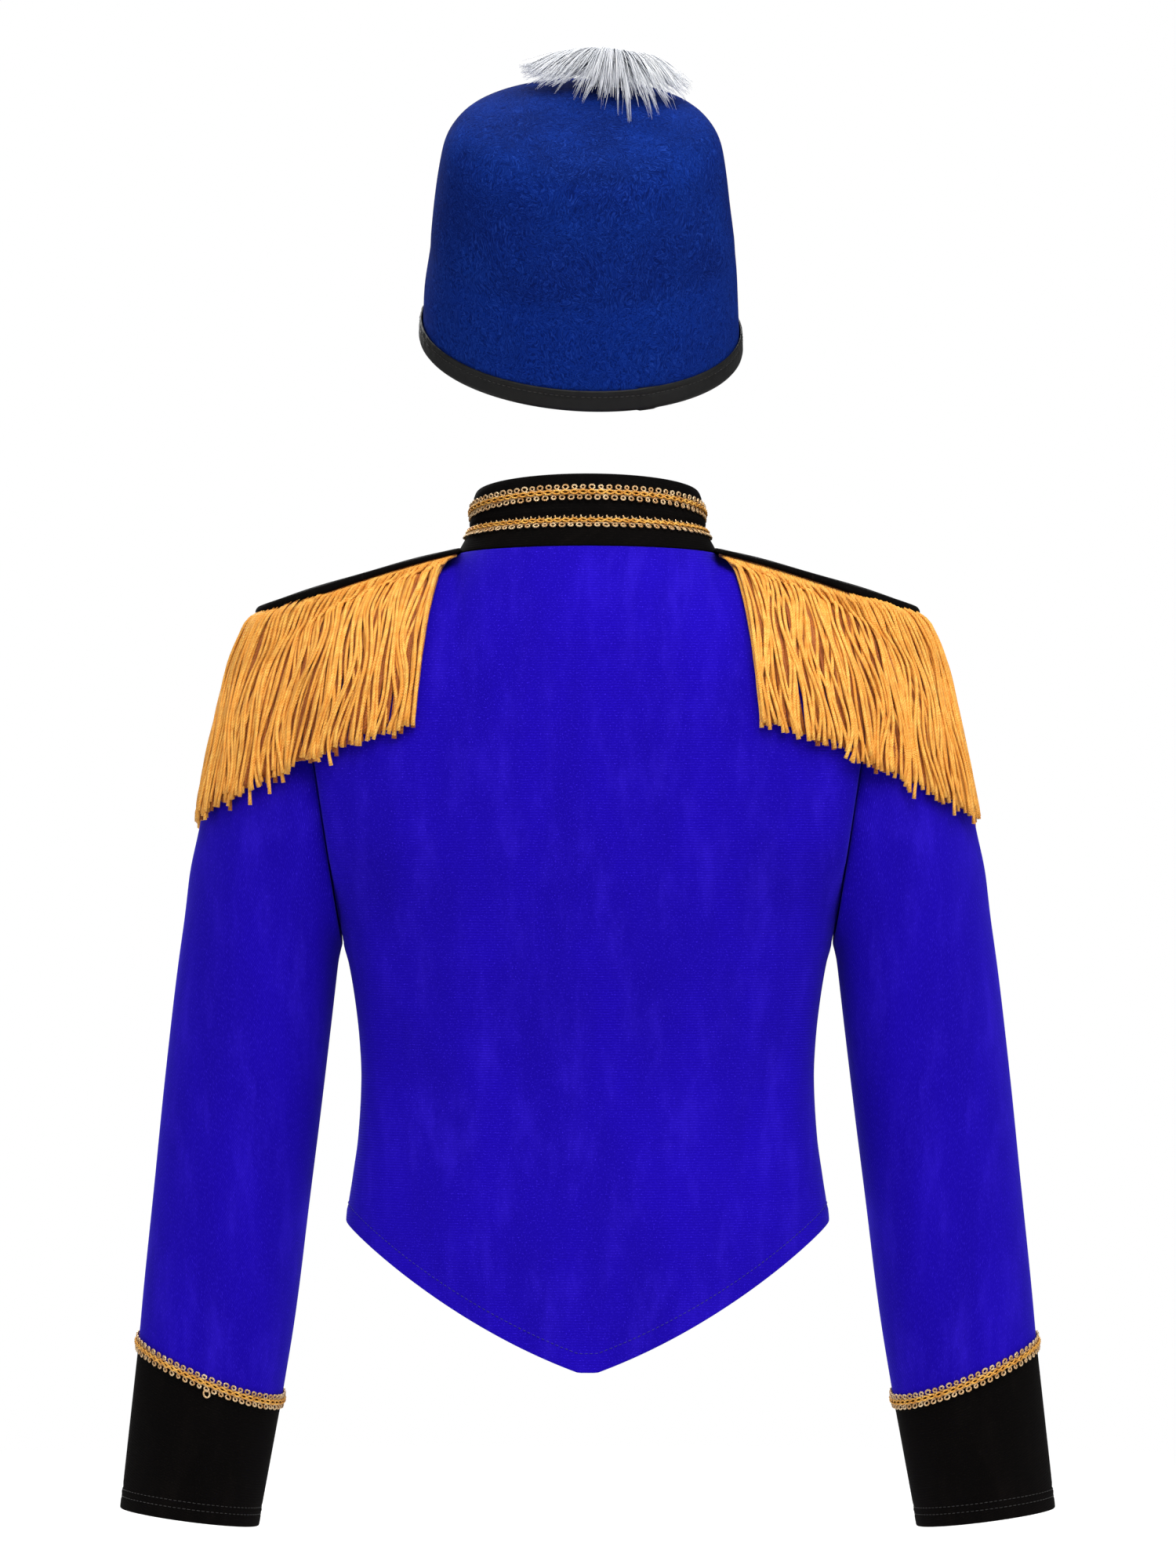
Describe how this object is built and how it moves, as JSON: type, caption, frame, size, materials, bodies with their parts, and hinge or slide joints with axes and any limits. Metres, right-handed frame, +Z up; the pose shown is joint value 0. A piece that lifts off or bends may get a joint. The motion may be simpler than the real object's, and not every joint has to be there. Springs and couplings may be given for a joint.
{
  "type": "marching band jacket and hat",
  "caption": "Worn, hollow velvet marching band jacket with stand collar, gold braid, fringed epaulettes and V-shaped back hem, with its felt hat and feather standing above the collar.",
  "frame": {"origin": "middle of the neck at shoulder height, where the wearer holds the jacket up", "axes": "+Z up; +Y the way the wearer faces, so the pictured back of the jacket is towards -Y; +X to the wearer's right"},
  "size_m": [0.5024, 0.1966, 0.7931],
  "materials": {
    "blue_velvet": "royal blue stretch velvet, short nap with fine cross ribs",
    "black_velvet": "black stretch velvet, short nap",
    "gold_braid": "gimp braid of metallised yarn, looped edges",
    "gold_fringe": "glossy golden yellow chainette",
    "blue_felt": "pressed blue felt with a short swirled fuzz",
    "black_satin": "smooth black binding, slight sheen",
    "white_feather": "fluffy white feather barbs"
  },
  "bodies": {
    "root": {"back_panel": "blue_velvet", "front_left": "blue_velvet", "front_right": "blue_velvet", "sleeve_left": "blue_velvet", "sleeve_right": "blue_velvet", "neck_band": "black_velvet", "collar_stand": "black_velvet", "cuff_left": "black_velvet", "cuff_right": "black_velvet", "epaulette_left": "black_velvet", "epaulette_right": "black_velvet", "braid_collar_upper": "gold_braid", "braid_collar_lower": "gold_braid", "braid_cuff_left": "gold_braid", "braid_cuff_right": "gold_braid", "fringe_left": "gold_fringe", "fringe_right": "gold_fringe", "hat_felt": "blue_felt", "hat_binding": "black_satin", "hat_feather": "white_feather"}
  },
  "joints": []
}
